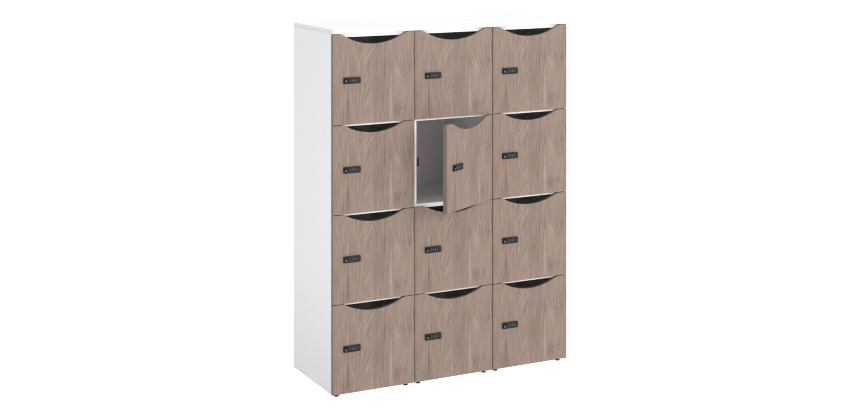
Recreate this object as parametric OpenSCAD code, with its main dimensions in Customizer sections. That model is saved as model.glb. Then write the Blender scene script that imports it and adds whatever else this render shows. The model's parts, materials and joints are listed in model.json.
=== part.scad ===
/* Office locker cabinet: three board carcasses of four compartments stand side
   by side under one cover, with twelve wood-faced overlay doors that have a
   scooped top edge, and a four-dial combination cam lock in every door.

   Frame: X to the right, Y from the doors to the back, Z up. The origin is on
   the floor, under the middle of the closed cabinet's footprint. Rows are
   numbered from the top and columns from the left, so door r2c2 is the second
   door down in the middle column. That door stands ajar. */

/* [Cabinet] */
// Distance between the centre lines of neighbouring columns
col_pitch = 400; // [360:1:500]
// Distance between the centre lines of neighbouring shelves
row_pitch = 392; // [370:1:460]
// Height of the lowest shelf's centre line above the underside
first_shelf = 392.5; // [380:0.5:470]
// Thickness of every carcass board
board_t = 18; // [16:0.5:19]
// Depth of the carcass behind the doors
carcass_d = 436; // [320:1:560]
// Thickness of the back panel
back_t = 8; // [5:1:12]
// Height of the feet
foot_h = 15; // [10:1:40]

/* [Doors] */
// Thickness of the doors
door_t = 18; // [18:0.5:19]
// Gap between neighbouring doors
door_gap = 3; // [2:0.5:4]
// Gap between a closed door and the carcass
bumper_gap = 1; // [0.5:0.5:2]
// Angle at which door r2c2 stands ajar
ajar_angle = 30.4; // [0:0.1:100]
// Depth of the scoop below the shelf line above it
scoop_drop = 40.5; // [30:0.5:60]
// Radius of the scoop's long arc
scoop_r = 293; // [250:1:340]
// Radius of the shoulders at both ends of the scoop
shoulder_r = 45; // [20:1:60]

/* [Lock] */
// Distance from the column's left line to the middle of the lock
lock_x = 91; // [86:1:150]
// Distance of the lock below the shelf line above it
lock_drop = 197.5; // [120:0.5:230]
// Width of the lock's face plate
plate_w = 82; // [80:1:100]
// Height of the lock's face plate
plate_h = 28.5; // [28:0.5:36]
// Height of the face plate above the door
plate_t = 6.5; // [6.5:0.5:8]
// Length of the cam from its spindle
cam_l = 37; // [34:1:39]

/* [Hinges] */
// Height of the lower hinge above the door's lower edge
hinge_low = 72; // [50:1:120]
// Distance of the upper hinge below the shelf line above it
hinge_top = 92; // [75:1:130]

/* [Hidden] */

// facets of a cylinder, unless a call gives its own
$fn = 48;

// clearances for parts that are fixed together and for turning parts
fixed_fit = 0.1;
turn_fit = 0.06;
// how far most cuts run past the surface they open
past = 1;

cols = 3;
rows = 4;
overall_w = cols * col_pitch;
overall_d = door_t + bumper_gap + carcass_d;
// the front of the doors, the front and the back of the carcass
y_door = -overall_d / 2;
y_front = y_door + door_t + bumper_gap;
y_back = overall_d / 2;
// inner width between a column's sides, inner depth before its back panel
inner_w = col_pitch - 2 * board_t;
inner_d = carcass_d - back_t;

// a column's left line and the shelf line above a row
function col_x(col) = -overall_w / 2 + (col - 1) * col_pitch;
function line_z(row) = first_shelf + (rows - row) * row_pitch;

// the carcass ends half a board above the line over the top row
carcass_h = line_z(1) + board_t / 2;

// a door's edges, from its column's left line and from the underside
function door_x0(col) = col == 1 ? 0 : door_gap / 2;
function door_x1(col) = col == cols ? col_pitch : col_pitch - door_gap / 2;
function door_z0(row) = row == rows ? 0 : line_z(row + 1) + door_gap / 2;
function door_z1(row) = row == 1 ? carcass_h - door_gap : line_z(row) - door_gap / 2;
function swing(row, col) = row == 2 && col == 2 ? ajar_angle : 0;

// heights of a door's lock and of its two hinges
function lock_z(row) = line_z(row) - lock_drop;
function hinge_z(row) = [door_z0(row) + hinge_low, line_z(row) - hinge_top];

// from a door's hinge-side edge to the wall that carries the hinge
function wall_x(col) = board_t - (col_pitch - door_x1(col));

// feet: from the column's edges, from the doors' front, from the back
foot_side = 31;
foot_front = 32;
foot_back = 30;
foot_pad_h = 5;
foot_cap_h = 3;

// hinge: the swing axis is the door's front corner. Cup and lever radii.
cup_x = 21.5;
cup_r = 17.5;
cup_floor_y = door_t - 12.5;
flange_t = 0.9;
lever_r0 = 28;
lever_r1 = 31;
lever_gap = 0.2;
lever_h = 9.2;
// arm: width, half height, sheet thickness and y of its back end
arm_w = 10;
arm_half_h = 7.3;
cheek_t = 1.8;
web_t = 1.6;
arm_end = 82;
// mounting block: thickness off the wall and height, and its wings
mount_t = 7;
mount_h = 16;
wing_y = 46;
wing_d = 18;
wing_h = 50;

// lock: y of the face plate's front and of the case's back
lock_front = -plate_t;
lock_back = door_t + 6;
// body that passes through the door, and the gap around it
body_w = 76;
body_h = 24;
body_r = 2.5;
body_gap = 0.5;
// dials: their middle is offset from the middle of the face plate
dials = 4;
dial_mid = 5;
dial_pitch = 10.5;
dial_w = 8;
dial_r = 10;
dial_y = 2;
dial_side_gap = 0.4;
dial_rim_gap = 0.6;
grooves = 10;
axle_r = 1.5;
// knob, spindle and cam, offset likewise
knob_x = -28;
spindle_r = 4;
knob_face = lock_front - 0.2;
knob_angle = 57;
cam_y = door_t + 7.2;
cam_t = 2.8;
cam_w = 16;
cam_back = cam_y + cam_t;
square_w = 6.4;
cam_hole_w = 6.6;

// keeper block and the cam's clearance in its slot
block_w = 15;
block_d = 23;
block_h = 37;
slot_gap = 1.3;

// ---------- shared shapes ----------

function polar(radius, angle) = radius * [cos(angle), sin(angle)];

// a door's own frame: x from the column's left line, y from the door's face,
// z from the cabinet's underside, swung about the hinge-side front corner
module door_frame(row, col) {
    translate([col_x(col) + door_x1(col), y_door, foot_h])
        rotate([0, 0, swing(row, col)])
            translate([-door_x1(col), 0, 0])
                children();
}

// a plate with round corners in the X-Z plane, from y0 to y1
module round_plate(width, height, corner_r, y0, y1) {
    translate([0, y1, 0])
        rotate([90, 0, 0])
            linear_extrude(y1 - y0)
                union() {
                    square([width - 2 * corner_r, height], center = true);
                    square([width, height - 2 * corner_r], center = true);
                    for (sx = [-1, 1], sz = [-1, 1])
                        translate([sx * (width / 2 - corner_r), sz * (height / 2 - corner_r)])
                            circle(corner_r, $fn = 32);
                }
}

// a cylinder along Y from y0 to y1
module y_rod(radius, y0, y1, facets = 48) {
    translate([0, y0, 0])
        rotate([-90, 0, 0])
            cylinder(h = y1 - y0, r = radius, $fn = facets);
}

// a cylinder along X, centred
module x_rod(radius, length, facets = 48) {
    rotate([0, 90, 0])
        cylinder(h = length, r = radius, center = true, $fn = facets);
}

// a slice of a ring in the X-Y plane, between two radii and two angles
module ring_slice(r_in, r_out, angle0, angle1) {
    intersection() {
        difference() {
            circle(r_out, $fn = 96);
            circle(r_in, $fn = 96);
        }
        // a wedge that reaches well beyond the ring
        polygon([
            [0, 0],
            polar(2 * r_out, angle0),
            polar(2.4 * r_out, (angle0 + angle1) / 2),
            polar(2 * r_out, angle1)
        ]);
    }
}

// ---------- carcass ----------

module top_cover() {
    color([0.96, 0.96, 0.97])
        translate([-overall_w / 2, y_door, foot_h + carcass_h])
            cube([overall_w, overall_d, board_t]);
}

// One side board per column, with its left face at x from the column's left
// line. Two boards meet at the line between neighbouring columns.
module side_boards(x) {
    for (col = [1:cols])
        translate([col_x(col) + x, y_front, foot_h])
            cube([board_t, carcass_d, carcass_h]);
}

module left_sides() {
    color([0.93, 0.93, 0.94]) side_boards(0);
}

module right_sides() {
    color([0.93, 0.93, 0.94]) side_boards(col_pitch - board_t);
}

// One level board in each column, with its underside at height z
module cross_boards(z) {
    for (col = [1:cols])
        translate([col_x(col) + board_t, y_front, foot_h + z])
            cube([inner_w, inner_d, board_t]);
}

module column_tops() {
    color([0.94, 0.94, 0.95]) cross_boards(carcass_h - board_t);
}

module column_bottoms() {
    color([0.94, 0.94, 0.95]) cross_boards(0);
}

module shelves() {
    color([0.80, 0.80, 0.81])
        for (row = [2:rows])
            cross_boards(line_z(row) - board_t / 2);
}

module back_panels() {
    color([0.72, 0.72, 0.73])
        for (col = [1:cols])
            translate([col_x(col) + board_t, y_back - back_t, foot_h])
                cube([inner_w, back_t, carcass_h]);
}

// A wide pad, a thinner stem and a cap under the carcass
module foot() {
    union() {
        cylinder(h = foot_pad_h, r = 11);
        translate([0, 0, foot_pad_h])
            cylinder(h = foot_h - foot_pad_h - foot_cap_h, r = 8);
        translate([0, 0, foot_h - foot_cap_h])
            cylinder(h = foot_cap_h, r = 10);
    }
}

module feet() {
    color([0.07, 0.07, 0.07])
        for (col = [1:cols],
             x = [foot_side, col_pitch - foot_side],
             y = [y_door + foot_front, y_back - foot_back])
            translate([col_x(col) + x, y, 0])
                foot();
}

// ---------- fittings fixed to the carcass ----------

// One hinge arm, with its origin on the swing axis and the wall's face at
// x = -wall. Its cheeks start as arcs about that axis and slide in the cup.
module hinge_arm(wall) {
    x1 = -wall - mount_t;
    x0 = x1 - arm_w;
    module cheek() {
        union() {
            ring_slice(lever_r0, lever_r1, 141, 154);
            // from the arc to the straight part
            polygon([
                polar(lever_r0, 141),
                [x1, 28],
                [x0, 28],
                polar(lever_r1, 150),
                polar((lever_r0 + lever_r1) / 2, 145)
            ]);
            translate([x0, 27])
                square([arm_w, arm_end - 27]);
        }
    }
    union() {
        for (z = [-arm_half_h, arm_half_h - cheek_t])
            translate([0, 0, z])
                linear_extrude(cheek_t)
                    cheek();
        // the web on the wall side joins the two cheeks
        translate([x1 - web_t, 33, -arm_half_h])
            cube([web_t, arm_end - 33, 2 * arm_half_h]);
        // fixing screw in the bottom of the channel
        translate([x1 - 3.4, 70, 0])
            x_rod(3.2, 4.4, 32);
    }
}

// The mounting plate between arm and wall, with its two screw wings
module hinge_plate(wall) {
    union() {
        translate([-wall - mount_t, 40, -mount_h / 2])
            cube([mount_t, 40, mount_h]);
        translate([-wall - 2, wing_y, -wing_h / 2])
            cube([2, wing_d, wing_h]);
        for (side = [-1, 1])
            translate([-wall - 4, wing_y + wing_d / 2, side * 16])
                x_rod(4.6, 4.2, 32);
    }
}

// Puts its child on the swing axis at every hinge of the closed doors, and
// gives it the distance to the wall as $wall
module each_hinge() {
    for (row = [1:rows], col = [1:cols], z = hinge_z(row))
        translate([col_x(col) + door_x1(col), y_door, foot_h + z]) {
            $wall = wall_x(col);
            children();
        }
}

module hinge_arms() {
    color([0.62, 0.62, 0.64]) each_hinge() hinge_arm($wall);
}

module hinge_plates() {
    color([0.58, 0.58, 0.60]) each_hinge() hinge_plate($wall);
}

// A keeper block on the left wall, with a slot for the lock's cam that is
// open to the right, above and below
module strike_block() {
    difference() {
        translate([0, door_t + bumper_gap + 2, -block_h / 2])
            cube([block_w, block_d, block_h]);
        translate([4, cam_y - slot_gap, -20])
            cube([12, cam_t + 2 * slot_gap, 40]);
    }
}

module strike_blocks() {
    color([0.16, 0.16, 0.17])
        for (row = [1:rows], col = [1:cols])
            translate([col_x(col) + board_t, y_door, foot_h + lock_z(row) + 3])
                strike_block();
}

// ---------- doors ----------

// What is cut away above the scoop's left shoulder. The shoulder circle's
// centre is at x, z, the long arc's centre at x = 0, and the door ends at top.
module shoulder_cut(x, z, top) {
    to_arc = [-x, sqrt(pow(scoop_r + shoulder_r, 2) - x * x)];
    // just past the point where the two circles touch
    tip = [x, z] + (shoulder_r + 0.5) * to_arc / norm(to_arc);
    difference() {
        polygon([[x, z], [x, top + 2], [tip[0], top + 2], tip]);
        translate([x, z])
            circle(shoulder_r, $fn = 96);
    }
}

// The door's outline: a rectangle with the scoop in its top edge
module door_outline(row, col) {
    x0 = door_x0(col);
    z0 = door_z0(row);
    z1 = door_z1(row);
    arc_z = line_z(row) - scoop_drop + scoop_r;
    shoulder_z = z1 - shoulder_r;
    // the circles touch, so their centres lie both radii apart
    shoulder_x = sqrt(pow(scoop_r + shoulder_r, 2) - pow(arc_z - shoulder_z, 2));
    difference() {
        translate([x0, z0])
            square([door_x1(col) - x0, z1 - z0]);
        translate([col_pitch / 2, arc_z])
            circle(scoop_r, $fn = 360);
        translate([col_pitch / 2, 0]) {
            shoulder_cut(-shoulder_x, shoulder_z, z1);
            mirror([1, 0])
                shoulder_cut(-shoulder_x, shoulder_z, z1);
        }
    }
}

module door_panel(row, col) {
    color([0.62, 0.55, 0.50])
        door_frame(row, col)
            difference() {
                translate([0, door_t, 0])
                    rotate([90, 0, 0])
                        linear_extrude(door_t)
                            door_outline(row, col);
                // window for the lock's body
                translate([lock_x, 0, lock_z(row)])
                    round_plate(body_w + 2 * body_gap, body_h + 2 * body_gap,
                                body_r + body_gap, -past, door_t + past);
                // blind bores for the hinge cups
                for (z = hinge_z(row))
                    translate([door_x1(col) - cup_x, 0, z])
                        y_rod(cup_r, cup_floor_y, door_t + past);
            }
}

// Hinge cup with its flange and the lever that reaches back to the arm
module hinge_cup() {
    union() {
        difference() {
            union() {
                translate([-cup_x, 0, 0])
                    y_rod(cup_r - fixed_fit, cup_floor_y + 1, door_t);
                // flange with the two screw ears
                translate([-cup_x, 0, 0])
                    y_rod(cup_r + 1.2, door_t, door_t + flange_t);
                translate([-cup_x - 7, door_t, -26])
                    cube([14, flange_t, 52]);
            }
            // hollow of the cup
            translate([-cup_x, 0, 0])
                y_rod(cup_r - 1.2, cup_floor_y + 2.1, door_t + 2);
        }
        // screw heads on the ears
        for (side = [-1, 1])
            translate([-cup_x, 0, side * 22])
                y_rod(3.4, door_t + 0.5, door_t + 2.2, 32);
        // lever
        translate([0, 0, -lever_h / 2])
            linear_extrude(lever_h)
                ring_slice(lever_r0 + lever_gap, lever_r1 - lever_gap, 135, 166);
    }
}

// Puts its children at the middle of every dial, from the lock's middle
module each_dial() {
    for (i = [0:dials - 1])
        translate([dial_mid + (i - (dials - 1) / 2) * dial_pitch, 0, 0])
            children();
}

// An opening for one dial, from y to y + depth
module dial_opening(y, depth, height) {
    width = dial_w + 2 * dial_side_gap;
    translate([-width / 2, y, -height / 2])
        cube([width, depth, height]);
}

module lock_case() {
    difference() {
        union() {
            round_plate(plate_w, plate_h, 4.5, lock_front, 0);
            round_plate(body_w, body_h, body_r, -1, door_t + 0.5);
            // flange behind the door
            round_plate(84, 30, 4, door_t, lock_back);
        }
        // spindle bore
        translate([knob_x, 0, 0])
            y_rod(spindle_r + turn_fit, lock_front - past, lock_back + 2);
        // windows and pockets for the dials
        each_dial() {
            dial_opening(lock_front - past, 4, 15.2);
            dial_opening(lock_front + 1.5, 19, 2 * (dial_r + dial_rim_gap));
        }
        // bore for the dials' axle
        translate([dial_mid, dial_y, 0])
            x_rod(axle_r + turn_fit, dials * dial_pitch + 6);
    }
}

module door_fittings(row, col) {
    color([0.10, 0.10, 0.11])
        door_frame(row, col) {
            translate([lock_x, 0, lock_z(row)]) {
                lock_case();
                // the dials' axle
                translate([dial_mid, dial_y, 0])
                    x_rod(axle_r, dials * dial_pitch + 4);
            }
            for (z = hinge_z(row))
                translate([door_x1(col), 0, z])
                    hinge_cup();
        }
}

// One number wheel with its finger grooves, centred on the axle
module number_wheel() {
    rotate([90, 0, 90])
        translate([0, 0, -dial_w / 2])
            linear_extrude(dial_w)
                difference() {
                    circle(dial_r, $fn = 80);
                    circle(axle_r + turn_fit, $fn = 48);
                    for (i = [0:grooves - 1])
                        rotate((i + 0.5) * 360 / grooves)
                            translate([dial_r + 0.7, 0])
                                circle(1.3, $fn = 24);
                }
}

module lock_dials(row, col) {
    color([0.42, 0.47, 0.52])
        door_frame(row, col)
            translate([lock_x, dial_y, lock_z(row)])
                each_dial()
                    number_wheel();
}

// Knob with its grip, the spindle, and the square and stud at its back end
module knob_and_spindle() {
    union() {
        y_rod(10.5, knob_face - 3.4, knob_face, 64);
        rotate([0, knob_angle, 0])
            round_plate(20, 6.4, 2.4, knob_face - 7.4, knob_face - 3);
        y_rod(spindle_r, knob_face - 0.5, cam_y - 0.3);
        translate([-square_w / 2, cam_y - 0.6, -square_w / 2])
            cube([square_w, cam_t + 0.6, square_w]);
        y_rod(2.8, cam_back - 0.2, cam_back + 5.4);
    }
}

// The cam points down from its round hub
module cam() {
    difference() {
        union() {
            y_rod(9, cam_y, cam_back);
            translate([-cam_w / 2, cam_y, -cam_l])
                cube([cam_w, cam_t, cam_l]);
        }
        translate([-cam_hole_w / 2, cam_y - past, -cam_hole_w / 2])
            cube([cam_hole_w, cam_t + 2 * past, cam_hole_w]);
    }
}

module cam_nut() {
    difference() {
        y_rod(5.8, cam_back + 0.1, cam_back + 4.1, 6);
        y_rod(2.9, cam_back - 1, cam_back + 5);
    }
}

module lock_knob(row, col) {
    color([0.20, 0.20, 0.21])
        door_frame(row, col)
            translate([lock_x + knob_x, 0, lock_z(row)]) {
                knob_and_spindle();
                cam();
                cam_nut();
            }
}

// ---------- nodes ----------

top_cover();
column_tops();
column_bottoms();
left_sides();
right_sides();
shelves();
back_panels();
feet();
hinge_plates();
hinge_arms();
strike_blocks();
door_panel(1, 1);  // door_r1c1
door_panel(1, 2);  // door_r1c2
door_panel(1, 3);  // door_r1c3
door_panel(2, 1);  // door_r2c1
door_panel(2, 2);  // door_r2c2
door_panel(2, 3);  // door_r2c3
door_panel(3, 1);  // door_r3c1
door_panel(3, 2);  // door_r3c2
door_panel(3, 3);  // door_r3c3
door_panel(4, 1);  // door_r4c1
door_panel(4, 2);  // door_r4c2
door_panel(4, 3);  // door_r4c3
door_fittings(1, 1);  // fittings_r1c1
door_fittings(1, 2);  // fittings_r1c2
door_fittings(1, 3);  // fittings_r1c3
door_fittings(2, 1);  // fittings_r2c1
door_fittings(2, 2);  // fittings_r2c2
door_fittings(2, 3);  // fittings_r2c3
door_fittings(3, 1);  // fittings_r3c1
door_fittings(3, 2);  // fittings_r3c2
door_fittings(3, 3);  // fittings_r3c3
door_fittings(4, 1);  // fittings_r4c1
door_fittings(4, 2);  // fittings_r4c2
door_fittings(4, 3);  // fittings_r4c3
lock_dials(1, 1);  // lock_dials_r1c1
lock_dials(1, 2);  // lock_dials_r1c2
lock_dials(1, 3);  // lock_dials_r1c3
lock_dials(2, 1);  // lock_dials_r2c1
lock_dials(2, 2);  // lock_dials_r2c2
lock_dials(2, 3);  // lock_dials_r2c3
lock_dials(3, 1);  // lock_dials_r3c1
lock_dials(3, 2);  // lock_dials_r3c2
lock_dials(3, 3);  // lock_dials_r3c3
lock_dials(4, 1);  // lock_dials_r4c1
lock_dials(4, 2);  // lock_dials_r4c2
lock_dials(4, 3);  // lock_dials_r4c3
lock_knob(1, 1);  // lock_knob_r1c1
lock_knob(1, 2);  // lock_knob_r1c2
lock_knob(1, 3);  // lock_knob_r1c3
lock_knob(2, 1);  // lock_knob_r2c1
lock_knob(2, 2);  // lock_knob_r2c2
lock_knob(2, 3);  // lock_knob_r2c3
lock_knob(3, 1);  // lock_knob_r3c1
lock_knob(3, 2);  // lock_knob_r3c2
lock_knob(3, 3);  // lock_knob_r3c3
lock_knob(4, 1);  // lock_knob_r4c1
lock_knob(4, 2);  // lock_knob_r4c2
lock_knob(4, 3);  // lock_knob_r4c3
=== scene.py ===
"""Office locker cabinet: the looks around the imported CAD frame.

Objects are in metres. The builder helpers take millimetres in a lock's, hinge's or foot's own frame."""
import json
import math
import bpy
import bmesh
from mathutils import Matrix, Vector
from mathutils.geometry import tessellate_polygon

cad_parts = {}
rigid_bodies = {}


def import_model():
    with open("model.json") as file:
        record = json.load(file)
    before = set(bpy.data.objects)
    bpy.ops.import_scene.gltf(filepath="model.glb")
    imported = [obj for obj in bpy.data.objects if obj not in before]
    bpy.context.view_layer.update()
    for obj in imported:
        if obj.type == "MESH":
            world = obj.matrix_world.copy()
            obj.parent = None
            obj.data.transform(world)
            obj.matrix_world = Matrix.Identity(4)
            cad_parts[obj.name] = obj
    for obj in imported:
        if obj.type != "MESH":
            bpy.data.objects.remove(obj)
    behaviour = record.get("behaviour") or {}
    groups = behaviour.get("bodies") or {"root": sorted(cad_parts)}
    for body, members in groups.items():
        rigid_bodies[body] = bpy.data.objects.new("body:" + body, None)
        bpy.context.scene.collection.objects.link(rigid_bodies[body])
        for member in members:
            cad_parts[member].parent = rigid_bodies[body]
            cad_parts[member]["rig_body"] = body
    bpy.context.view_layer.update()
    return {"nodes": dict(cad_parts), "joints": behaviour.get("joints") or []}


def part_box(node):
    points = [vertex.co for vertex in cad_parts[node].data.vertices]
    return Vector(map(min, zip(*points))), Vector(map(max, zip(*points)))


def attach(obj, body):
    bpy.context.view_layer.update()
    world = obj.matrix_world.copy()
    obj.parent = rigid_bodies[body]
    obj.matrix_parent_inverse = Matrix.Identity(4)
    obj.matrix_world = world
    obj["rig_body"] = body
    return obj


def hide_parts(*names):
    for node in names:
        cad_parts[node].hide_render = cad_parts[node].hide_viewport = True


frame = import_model()
nodes = frame["nodes"]
scene = bpy.context.scene
MM = 0.001
CELLS = [(r, c) for r in (1, 2, 3, 4) for c in (1, 2, 3)]
JOINTS = {j["name"]: j for j in frame["joints"]}

# ------------------------------------------------------------ positions, read from the frame
side_lo, side_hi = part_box("left_sides")
cover_lo, cover_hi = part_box("top_cover")
BOARD = cover_hi.z - cover_lo.z
Y_DOOR = cover_lo.y                      # faces of the closed doors
Y_FRONT = side_lo.y                      # front edges of the carcass
Y_BACK = side_hi.y
FOOT = side_lo.z
TOP = side_hi.z
COVER_Z = cover_lo.z
PITCH = (cover_hi.x - cover_lo.x) / 3


def col_x(c):
    return cover_lo.x + (c - 1) * PITCH


def lock_z(r):
    return JOINTS[f"lock_dials_r{r}c1_spin"]["pos_m"][2]


def line_z(r):
    """The centre line of the shelf above row r."""
    return lock_z(r) + 0.1975


def swing(r, c):
    """The hinge's axis, and how far the door stands open at rest."""
    j = JOINTS[f"door_r{r}c{c}_hinge"]
    return Vector(j["pos_m"]), -math.radians(j["range_deg"][0])


def door_matrix(r, c):
    """From a door's own frame (x from its column's left line, y from its face, z from the shelf line above) to the row frame."""
    h, a = swing(r, c)
    return (Matrix.Translation((h.x, h.y, line_z(r))) @ Matrix.Rotation(a, 4, "Z")
            @ Matrix.Translation((-(h.x - col_x(c)), 0, 0)))


LOCK = Vector((0.091, 0, -0.1975))       # the middle of a lock in the door's own frame
KNOB_X, DIAL_MID, DIAL_PITCH = -28.0, 5.0, 10.5


def lock_matrix(r, c):
    return door_matrix(r, c) @ Matrix.Translation(LOCK)


# ------------------------------------------------------------ node graphs
class Graph:
    """A few shorthands for building a node tree."""

    def __init__(self, tree):
        self.t = tree

    def node(self, kind, **props):
        n = self.t.nodes.new(kind)
        for k, v in props.items():
            setattr(n, k, v)
        return n

    def put(self, socket, value):
        if hasattr(value, "is_linked"):
            self.t.links.new(value, socket)
        elif value is not None:
            socket.default_value = value

    def math(self, op, a, b=None, c=None, clamp=False):
        n = self.node("ShaderNodeMath", operation=op, use_clamp=clamp)
        for s, v in zip(n.inputs, (a, b, c)):
            self.put(s, v)
        return n.outputs[0]

    def add(self, *xs):
        out = xs[0]
        for x in xs[1:]:
            out = self.math("ADD", out, x)
        return out

    def sub(self, a, b):
        return self.math("SUBTRACT", a, b)

    def mul(self, *xs):
        out = xs[0]
        for x in xs[1:]:
            out = self.math("MULTIPLY", out, x)
        return out

    def vec(self, op, a, b=None, scale=None):
        n = self.node("ShaderNodeVectorMath", operation=op)
        self.put(n.inputs[0], a)
        if b is not None:
            self.put(n.inputs[1], b)
        if scale is not None:
            self.put(n.inputs["Scale"], scale)
        return n.outputs["Value"] if op in ("DOT_PRODUCT", "LENGTH", "DISTANCE") else n.outputs["Vector"]

    def xyz(self, v):
        n = self.node("ShaderNodeSeparateXYZ")
        self.put(n.inputs[0], v)
        return n.outputs[0], n.outputs[1], n.outputs[2]

    def join(self, x, y, z):
        n = self.node("ShaderNodeCombineXYZ")
        for s, v in zip(n.inputs, (x, y, z)):
            self.put(s, v)
        return n.outputs[0]

    def noise(self, v, scale, detail=2.0, rough=0.5, lac=2.0, dist=0.0, dims="3D"):
        n = self.node("ShaderNodeTexNoise", noise_dimensions=dims)
        self.put(n.inputs["Vector"], v)
        for k, x in (("Scale", scale), ("Detail", detail), ("Roughness", rough), ("Lacunarity", lac), ("Distortion", dist)):
            self.put(n.inputs[k], x)
        return n.outputs["Fac"] if "Fac" in n.outputs else n.outputs[0]

    def smooth(self, x, lo, hi, out_lo=0.0, out_hi=1.0):
        """Smoothstep of x between lo and hi."""
        n = self.node("ShaderNodeMapRange", interpolation_type="SMOOTHSTEP", clamp=True)
        for s, v in zip(n.inputs, (x, lo, hi, out_lo, out_hi)):
            self.put(s, v)
        return n.outputs[0]

    def ramp(self, fac, stops, mode="LINEAR"):
        n = self.node("ShaderNodeValToRGB")
        n.color_ramp.interpolation = mode
        e = n.color_ramp.elements
        while len(e) < len(stops):
            e.new(0.5)
        for el, (p, col) in zip(e, stops):
            el.position, el.color = p, (*col, 1)
        self.put(n.inputs[0], fac)
        return n.outputs[0]

    def mix(self, fac, a, b, blend="MIX"):
        n = self.node("ShaderNodeMix", data_type="RGBA", blend_type=blend)
        n.clamp_factor = True
        self.put(n.inputs[0], fac)
        self.put(n.inputs[6], (*a, 1) if isinstance(a, tuple) else a)
        self.put(n.inputs[7], (*b, 1) if isinstance(b, tuple) else b)
        return n.outputs[2]

    def bump(self, height, strength, distance, normal=None):
        n = self.node("ShaderNodeBump")
        self.put(n.inputs["Height"], height)
        self.put(n.inputs["Strength"], strength)
        self.put(n.inputs["Distance"], distance)
        if normal is not None:
            self.put(n.inputs["Normal"], normal)
        return n.outputs[0]


def lin(*srgb):
    """sRGB 0..255 to linear."""
    return tuple(((v / 255) / 12.92 if v / 255 <= 0.04045 else ((v / 255 + 0.055) / 1.055) ** 2.4) for v in srgb)


def material(name):
    m = bpy.data.materials.new(name)
    m.use_nodes = True
    t = m.node_tree
    t.nodes.clear()
    g = Graph(t)
    out = g.node("ShaderNodeOutputMaterial")
    bsdf = g.node("ShaderNodeBsdfPrincipled")
    t.links.new(bsdf.outputs[0], out.inputs[0])
    return m, g, bsdf


def object_coords(g):
    return g.node("ShaderNodeTexCoord").outputs["Object"]


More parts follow.
